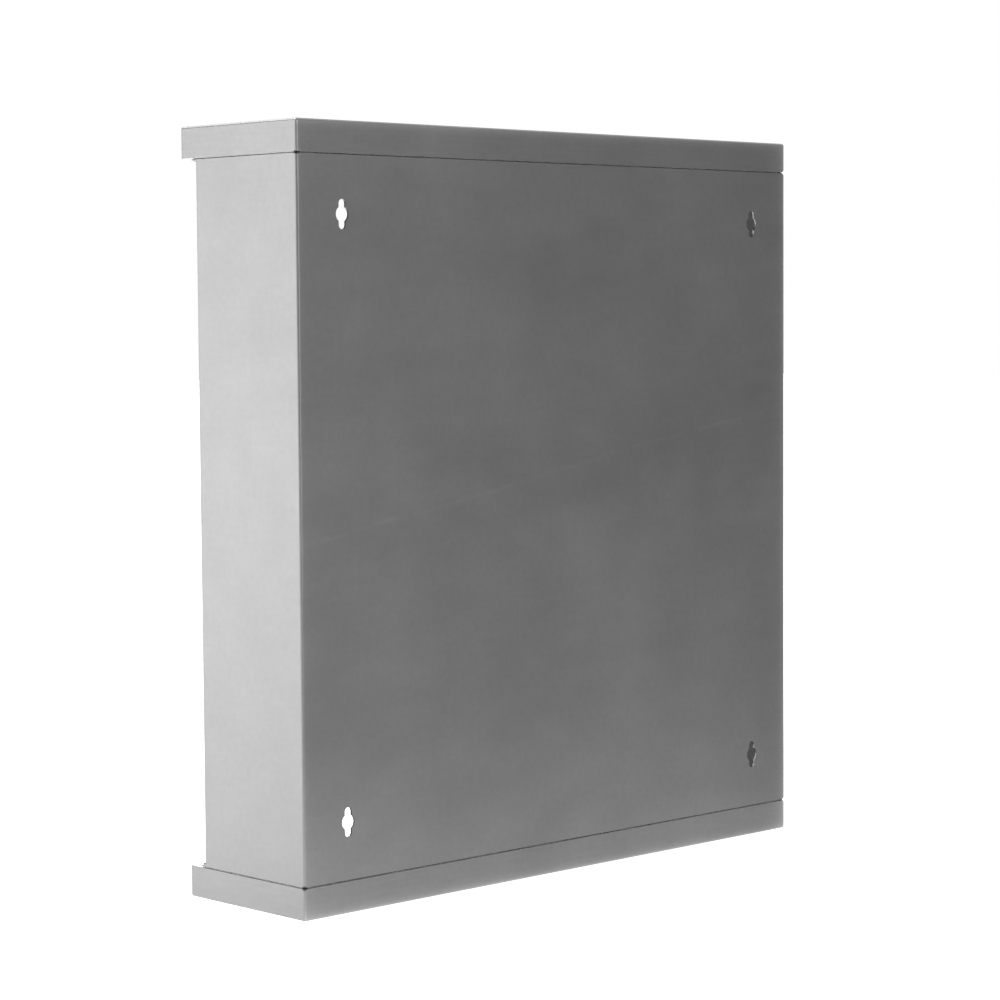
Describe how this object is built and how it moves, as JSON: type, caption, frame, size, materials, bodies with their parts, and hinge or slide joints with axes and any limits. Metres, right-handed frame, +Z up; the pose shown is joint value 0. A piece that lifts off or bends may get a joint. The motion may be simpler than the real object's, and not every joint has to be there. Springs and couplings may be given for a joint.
{
  "type": "residential load center",
  "caption": "Wall-mounted sheet-metal load center with pan caps, keyholed back, bus bars, main and branch breakers, and a hinged cover with a dead front and an inner door.",
  "frame": {"origin": "centre of the back sheet's outer face, which lies on the wall", "axes": "+Y out of the back into the wall, the front faces -Y; +Z up; +X to the right of someone facing the front"},
  "size_m": [0.6065, 0.5559, 0.508],
  "materials": {
    "enclosure_sheet": "galvanised sheet, fine directional grain, satin",
    "pan_sheet": "bright galvanised sheet",
    "cover_paint": "grey powder coat, slight texture",
    "zinc_steel": "zinc plated",
    "tinned_bus": "tin plated bar",
    "terminal_aluminium": "extruded, tin plated",
    "insulator_moulding": "moulded, fine texture",
    "breaker_moulding": "moulded thermoset, fine texture",
    "toggle_moulding": "moulded, semi-gloss",
    "green_screw": "green dyed zinc",
    "card_stock": "plain card"
  },
  "bodies": {
    "enclosure": {"enclosure_body": "enclosure_sheet", "top_cap": "enclosure_sheet", "bottom_cap": "enclosure_sheet", "interior_pan": "pan_sheet", "pan_screw_upper": "zinc_steel", "pan_screw_lower": "zinc_steel", "bus_support": "insulator_moulding", "bus_bar_left": "tinned_bus", "bus_bar_right": "tinned_bus", "breaker_rail_left": "zinc_steel", "breaker_rail_right": "zinc_steel", "main_breaker": "breaker_moulding", "main_lug_left": "terminal_aluminium", "main_lug_right": "terminal_aluminium", "neutral_bar_left": "terminal_aluminium", "neutral_bar_right": "terminal_aluminium", "neutral_insulator_left": "insulator_moulding", "neutral_insulator_right": "insulator_moulding", "neutral_strap": "terminal_aluminium", "neutral_lug": "terminal_aluminium", "bonding_screw": "green_screw", "ground_bar": "terminal_aluminium", "cover_hinge_upper_body_leaf": "zinc_steel", "cover_hinge_lower_body_leaf": "zinc_steel", "cover_hinge_upper_pin": "zinc_steel", "cover_hinge_lower_pin": "zinc_steel", "left_breaker_1": "breaker_moulding", "left_breaker_3": "breaker_moulding", "left_breaker_4": "breaker_moulding", "left_breaker_5": "breaker_moulding", "right_breaker_1": "breaker_moulding", "right_breaker_2": "breaker_moulding", "right_breaker_3": "breaker_moulding", "right_breaker_5": "breaker_moulding"},
    "main_handle": {"main_breaker_handle": "toggle_moulding"},
    "left_breaker_1_toggle": {"left_breaker_1_handle": "toggle_moulding"},
    "left_breaker_3_toggle": {"left_breaker_3_handle": "toggle_moulding"},
    "left_breaker_4_toggle": {"left_breaker_4_handle": "toggle_moulding"},
    "left_breaker_5_toggle": {"left_breaker_5_handle": "toggle_moulding"},
    "right_breaker_1_toggle": {"right_breaker_1_handle": "toggle_moulding"},
    "right_breaker_2_toggle": {"right_breaker_2_handle": "toggle_moulding"},
    "right_breaker_3_toggle": {"right_breaker_3_handle": "toggle_moulding"},
    "right_breaker_5_toggle": {"right_breaker_5_handle": "toggle_moulding"},
    "cover": {"cover_frame": "cover_paint", "dead_front": "cover_paint", "filler_plate_left": "insulator_moulding", "filler_plate_right": "insulator_moulding", "cover_hinge_upper_cover_leaf": "zinc_steel", "cover_hinge_lower_cover_leaf": "zinc_steel", "door_hinge_upper_leaf": "zinc_steel", "door_hinge_lower_leaf": "zinc_steel", "door_hinge_upper_pin": "zinc_steel", "door_hinge_lower_pin": "zinc_steel"},
    "cover_latch_upper": {"cover_latch_upper": "zinc_steel"},
    "cover_latch_lower": {"cover_latch_lower": "zinc_steel"},
    "inner_door": {"inner_door": "cover_paint", "directory_card": "card_stock"},
    "door_latch": {"door_latch": "toggle_moulding"}
  },
  "joints": [
    {"name": "main_handle_throw", "type": "hinge", "parent": "enclosure", "child": "main_handle", "pos_m": [0, -0.092, 0.125], "axis": [1, 0, 0], "range_deg": [0, 36]},
    {"name": "left_breaker_1_throw", "type": "hinge", "parent": "enclosure", "child": "left_breaker_1_toggle", "pos_m": [-0.036, -0.092, 0.0373], "axis": [0, 0, -1], "range_deg": [0, 34]},
    {"name": "left_breaker_3_throw", "type": "hinge", "parent": "enclosure", "child": "left_breaker_3_toggle", "pos_m": [-0.036, -0.092, -0.0008], "axis": [0, 0, -1], "range_deg": [0, 34]},
    {"name": "left_breaker_4_throw", "type": "hinge", "parent": "enclosure", "child": "left_breaker_4_toggle", "pos_m": [-0.036, -0.092, -0.0262], "axis": [0, 0, -1], "range_deg": [0, 34]},
    {"name": "left_breaker_5_throw", "type": "hinge", "parent": "enclosure", "child": "left_breaker_5_toggle", "pos_m": [-0.036, -0.092, -0.0516], "axis": [0, 0, -1], "range_deg": [0, 34]},
    {"name": "right_breaker_1_throw", "type": "hinge", "parent": "enclosure", "child": "right_breaker_1_toggle", "pos_m": [0.036, -0.092, 0.05], "axis": [0, 0, 1], "range_deg": [0, 34]},
    {"name": "right_breaker_2_throw", "type": "hinge", "parent": "enclosure", "child": "right_breaker_2_toggle", "pos_m": [0.036, -0.092, 0.0246], "axis": [0, 0, 1], "range_deg": [0, 34]},
    {"name": "right_breaker_3_throw", "type": "hinge", "parent": "enclosure", "child": "right_breaker_3_toggle", "pos_m": [0.036, -0.092, -0.0135], "axis": [0, 0, 1], "range_deg": [0, 34]},
    {"name": "right_breaker_5_throw", "type": "hinge", "parent": "enclosure", "child": "right_breaker_5_toggle", "pos_m": [0.036, -0.092, -0.0516], "axis": [0, 0, 1], "range_deg": [0, 34]},
    {"name": "cover_swing", "type": "hinge", "parent": "enclosure", "child": "cover", "pos_m": [-0.2372, -0.1028, 0], "axis": [0, 0, -1], "range_deg": [-105, 30]},
    {"name": "cover_latch_upper_turn", "type": "hinge", "parent": "cover", "child": "cover_latch_upper", "pos_m": [-0.36647, -0.53114, 0.15], "axis": [0.9659, -0.2588, 0], "range_deg": [0, 90]},
    {"name": "cover_latch_lower_turn", "type": "hinge", "parent": "cover", "child": "cover_latch_lower", "pos_m": [-0.36647, -0.53114, -0.15], "axis": [0.9659, -0.2588, 0], "range_deg": [0, 90]},
    {"name": "inner_door_swing", "type": "hinge", "parent": "cover", "child": "inner_door", "pos_m": [-0.29541, -0.25512, 0], "axis": [0, 0, -1], "range_deg": [0, 110]},
    {"name": "door_latch_slide", "type": "slide", "parent": "inner_door", "child": "door_latch", "axis": [-0.2588, -0.9659, 0], "range_m": [0, 0.006]}
  ]
}
